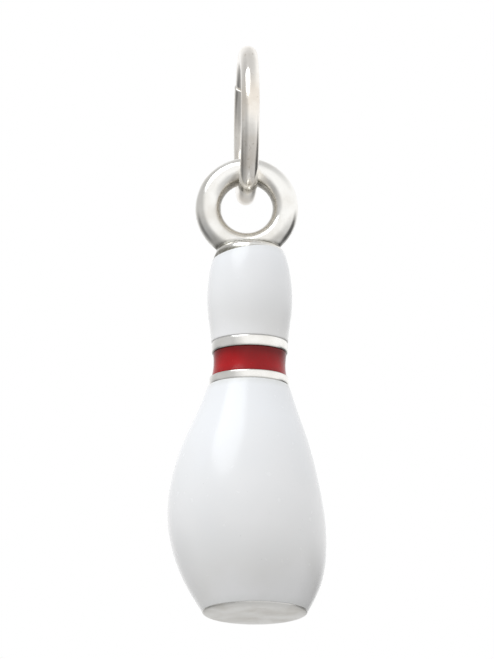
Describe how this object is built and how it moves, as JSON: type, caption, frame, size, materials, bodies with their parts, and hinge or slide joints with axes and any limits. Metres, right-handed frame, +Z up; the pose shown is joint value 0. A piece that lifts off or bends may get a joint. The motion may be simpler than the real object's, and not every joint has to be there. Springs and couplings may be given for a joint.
{
  "type": "bowling pin charm",
  "caption": "Small enamelled metal bowling pin charm, white with a red neck band, hanging by a cast eyelet on a jump ring.",
  "frame": {"origin": "inner top of the jump ring, the point that the charm hangs from", "axes": "+Z up, opposite to the way the charm hangs; the eyelet's hole faces along Y; +X to the right"},
  "size_m": [0.0059, 0.006, 0.0218],
  "materials": {
    "cast_silver": "polished silver plate on a casting, dull in its corners",
    "ring_silver": "polished silver plate on drawn wire",
    "white_enamel": "glossy white enamel",
    "red_enamel": "glossy dark red enamel"
  },
  "bodies": {
    "ring": {"jump_ring": "ring_silver"},
    "pin": {"cast_body": "cast_silver", "head_enamel": "white_enamel", "neck_band_enamel": "red_enamel", "belly_enamel": "white_enamel"}
  },
  "joints": [
    {"name": "pin_swing", "type": "hinge", "parent": "ring", "child": "pin", "pos_m": [0, 0, -0.00495], "axis": [-0.0523, 0.9986, 0], "range_deg": [-90, 90]}
  ]
}
